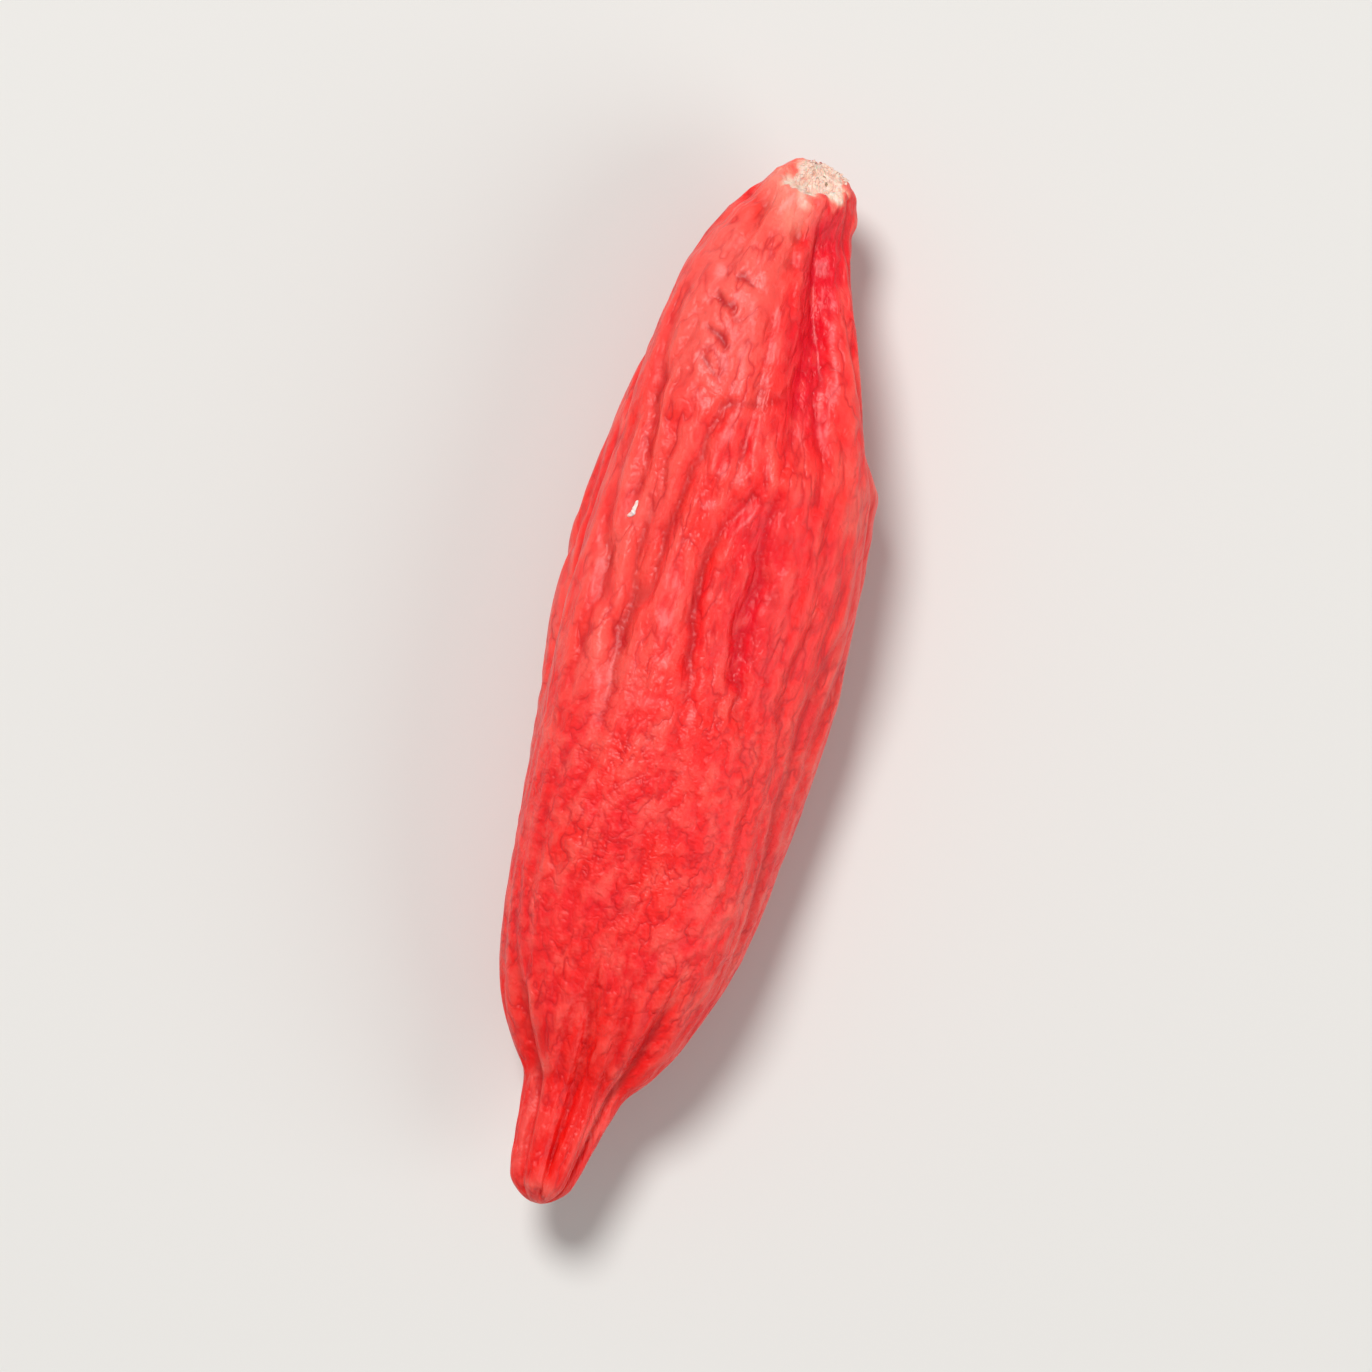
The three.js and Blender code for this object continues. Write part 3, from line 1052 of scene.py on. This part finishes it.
@dataclass(frozen=True)
class Crumbs:
    """Small crumbs that stick to a patch of the skin's upper side, half sunk in it.

    The patch reaches evenly round a spot, which is given by its station and side. Sizes are in
    millimetres. The flattening holds the least and the most length, width and height of a crumb
    for a size of 1, and the tilt is in radians.
    """

    name: str
    finish: CrumbFinish
    spot: Pair
    reach: float
    per_mm2: float
    smallest: float
    largest: float
    seed: int

    BALL_RADIUS = 0.5
    BALL_SUBDIVISIONS = 2
    TILT = 0.4
    FLATTENING = ((0.7, 0.4, 0.25), (1.9, 0.9, 0.5))
    DENT_SIZE = 0.035
    DENT_DEPTH = 0.03
    RAY_START = 100.0

    def build(self, skin: bpy.types.Object) -> bpy.types.Object:
        """Scatters the crumbs over the faces of their patch.

        Args:
            skin: The berry's skin.

        Returns:
            The finished piece, riding on the berry's body.
        """
        patch = self._patch(skin, self._chosen(skin))
        values = {"Per square metre": self.per_mm2 / MM ** 2, "Smallest": self.smallest * MM,
                  "Largest": self.largest * MM, "Seed": self.seed, "Finish": self.finish.make()}
        scatter = patch.modifiers.new("scatter", "NODES")
        scatter.node_group = self._tree()
        for socket in scatter.node_group.interface.items_tree:
            if socket.in_out == "INPUT" and socket.name in values:
                scatter[socket.identifier] = values[socket.name]
        grown = patch.evaluated_get(bpy.context.evaluated_depsgraph_get())
        mesh = bpy.data.meshes.new_from_object(grown)
        mesh.name = self.name
        bpy.data.objects.remove(patch)
        piece = add_object(self.name, mesh)
        mesh.shade_smooth()
        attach(piece, BODY)
        return piece

    def _chosen(self, skin: bpy.types.Object) -> np.ndarray:
        """Finds for each of the skin's vertices whether it is within reach of the spot."""
        flat = np.empty(3 * len(skin.data.vertices))
        skin.data.vertices.foreach_get("co", flat)
        vertices = flat.reshape(-1, 3) / MM
        station, side = self.spot
        start = Vector((side, vertices[:, 1].max() - station, self.RAY_START)) * MM
        place = skin.ray_cast(start, Vector((0, 0, -1)))[1] / MM
        return lengths(vertices - np.array(place))[:, 0] < self.reach

    @staticmethod
    def _patch(skin: bpy.types.Object, chosen: np.ndarray) -> bpy.types.Object:
        """Copies the faces whose vertices are all chosen to an object of their own."""
        shell = bmesh.new()
        shell.from_mesh(skin.data)
        shell.verts.ensure_lookup_table()
        bmesh.ops.delete(shell, geom=[v for v in shell.verts if not chosen[v.index]], context="VERTS")
        mesh = bpy.data.meshes.new("patch")
        shell.to_mesh(mesh)
        shell.free()
        return add_object("patch", mesh)

    def _tree(self) -> Tree:
        """Builds the node tree that scatters dented lumps, flattened and turned at random."""
        tree = bpy.data.node_groups.new("scatter_crumbs", "GeometryNodeTree")
        sockets = (("Patch", "NodeSocketGeometry"), ("Per square metre", "NodeSocketFloat"),
                   ("Smallest", "NodeSocketFloat"), ("Largest", "NodeSocketFloat"),
                   ("Seed", "NodeSocketInt"), ("Finish", "NodeSocketMaterial"))
        for name, kind in sockets:
            tree.interface.new_socket(name, in_out="INPUT", socket_type=kind)
        tree.interface.new_socket("Crumbs", in_out="OUTPUT", socket_type="NodeSocketGeometry")
        given = add_node(tree, "NodeGroupInput").outputs
        points = add_node(tree, "GeometryNodeDistributePointsOnFaces", None, {
            "Mesh": given["Patch"], "Density": given["Per square metre"],
            "Seed": given["Seed"]}).outputs
        ball = add_node(tree, "GeometryNodeMeshIcoSphere", None, {
            "Radius": self.BALL_RADIUS, "Subdivisions": self.BALL_SUBDIVISIONS}).outputs[0]
        dice, vector = "FunctionNodeRandomValue", {"data_type": "FLOAT_VECTOR"}
        turn = add_node(tree, dice, vector, {
            0: (-self.TILT, -self.TILT, 0.0), 1: (self.TILT, self.TILT, 2 * math.pi),
            "Seed": given["Seed"]}).outputs[0]
        facing = add_node(tree, "FunctionNodeRotateRotation", {"rotation_space": "LOCAL"}, {
            0: points["Rotation"], 1: turn}).outputs[0]
        size = add_node(tree, dice, {"data_type": "FLOAT"}, {
            2: given["Smallest"], 3: given["Largest"], "Seed": given["Seed"]}).outputs[1]
        shape = add_node(tree, dice, vector, {
            0: self.FLATTENING[0], 1: self.FLATTENING[1], "Seed": given["Seed"]}).outputs[0]
        scale = add_node(tree, "ShaderNodeVectorMath", {"operation": "SCALE"}, {
            0: shape, "Scale": size}).outputs[0]
        placed = add_node(tree, "GeometryNodeInstanceOnPoints", None, {
            "Points": points["Points"], "Instance": ball, "Rotation": facing,
            "Scale": scale}).outputs[0]
        lumps = add_node(tree, "GeometryNodeRealizeInstances", None, {0: placed}).outputs[0]
        dents = add_node(tree, "ShaderNodeTexNoise", None, {
            "Scale": 1 / (self.DENT_SIZE * MM), "Detail": 1.0}).outputs["Color"]
        pushed = add_node(tree, "ShaderNodeVectorMath", {"operation": "MULTIPLY_ADD"}, {
            0: dents, 1: (2 * self.DENT_DEPTH * MM,) * 3, 2: (-self.DENT_DEPTH * MM,) * 3}).outputs[0]
        dented = add_node(tree, "GeometryNodeSetPosition", None, {
            "Geometry": lumps, "Offset": pushed}).outputs[0]
        painted = add_node(tree, "GeometryNodeSetMaterial", None, {
            "Geometry": dented, "Material": given["Finish"]}).outputs[0]
        add_node(tree, "NodeGroupOutput", None, {0: painted})
        return tree


SCAR_SPOT = (0.32, 0.05)
FLECK_SPOT = (6.35, -1.55)
CRUMBS = (
    Crumbs("scar_pith", CrumbFinish("dry_stalk_pith", "#fbd3c0", "#eeaa92", 0.85), SCAR_SPOT,
           reach=0.45, per_mm2=260, smallest=0.025, largest=0.075, seed=4),
    Crumbs("scar_threads", CrumbFinish("dry_stalk_fibre", "#b3977c", "#80624a", 0.7), SCAR_SPOT,
           reach=0.16, per_mm2=60, smallest=0.05, largest=0.09, seed=6),
    Crumbs("sugar_fleck", CrumbFinish("dried_fruit_sugar", "#ffe9e0", "#fab6a8", 0.4), FLECK_SPOT,
           reach=0.12, per_mm2=80, smallest=0.11, largest=0.18, seed=5),
)


@dataclass(frozen=True)
class Lamp:
    """A round soft light: its place and width, in metres, and its power."""

    name: str
    place: Triple
    width: float
    watts: float

    def hang(self, target: Vector) -> None:
        """Hangs the light and points it at the target."""
        light = bpy.data.lights.new(self.name, "AREA")
        light.shape, light.size, light.energy = "DISK", self.width, self.watts
        lamp = add_object(self.name, light)
        lamp.location = self.place
        lamp.rotation_euler = (target - Vector(self.place)).to_track_quat("-Z", "Y").to_euler()


@dataclass(frozen=True)
class Studio:
    """The floor, lights and camera round the berry.

    Lengths are in metres, but the lens and the sensor's width are in millimetres.
    """

    floor_reach: float = 0.6
    key: Lamp = Lamp("key", (-0.1, 0.12, 0.28), 0.1, 0.86)
    fill: Lamp = Lamp("fill", (0.24, -0.05, 0.16), 0.22, 0.3)
    sky: str = "#ffffff"
    sky_strength: float = 0.31
    centre: Triple = (0.0, 0.0, 0.0019)
    view_width: float = 0.0225
    lean: float = 14.6
    lens: float = 250.0
    sensor: float = 36.0
    clip: Pair = (0.01, 10.0)

    def build(self) -> None:
        """Makes the floor, the lights and the camera."""
        self._floor()
        self._lights()
        self._camera()
        scene = bpy.context.scene
        scene.view_settings.view_transform = "Standard"
        scene.view_settings.look = "None"

    def _floor(self) -> None:
        """Lays a plain pale floor under the berry."""
        half = self.floor_reach / 2
        corners = [(-half, -half, 0), (half, -half, 0), (half, half, 0), (-half, half, 0)]
        mesh = bpy.data.meshes.new("floor")
        mesh.from_pydata(corners, [], [(0, 1, 2, 3)])
        floor = add_object("floor", mesh)
        mesh.materials.append(FloorFinish().make())

    def _lights(self) -> None:
        """Hangs a large soft light up and to the left, a weak one to the right, and a pale sky."""
        for lamp in (self.key, self.fill):
            lamp.hang(Vector(self.centre))
        world = bpy.data.worlds.new("pale_room")
        world.use_nodes = True
        background = world.node_tree.nodes["Background"]
        background.inputs["Color"].default_value = srgb(self.sky)
        background.inputs["Strength"].default_value = self.sky_strength
        bpy.context.scene.world = world

    def _camera(self) -> None:
        """Hangs the camera straight above, rolled so that the stalk end leans to the right."""
        lens = bpy.data.cameras.new("camera")
        lens.lens, lens.sensor_width, lens.sensor_fit = self.lens, self.sensor, "HORIZONTAL"
        lens.clip_start, lens.clip_end = self.clip
        camera = add_object("camera", lens)
        height = self.view_width * self.lens / self.sensor
        camera.location = (self.centre[0], self.centre[1], self.centre[2] + height)
        camera.rotation_euler = (0.0, 0.0, math.radians(self.lean))
        bpy.context.scene.camera = camera


def main() -> None:
    """Builds the berry and its studio."""
    logging.basicConfig(level=logging.INFO, format="%(name)s: %(message)s")
    skin = BerrySkin(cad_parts[BERRY_NODE]).build()
    for piece in [skin, *(crumbs.build(skin) for crumbs in CRUMBS)]:
        log.info("%s: %d faces", piece.name, len(piece.data.polygons))
    Studio().build()


if __name__ == "__main__":
    main()
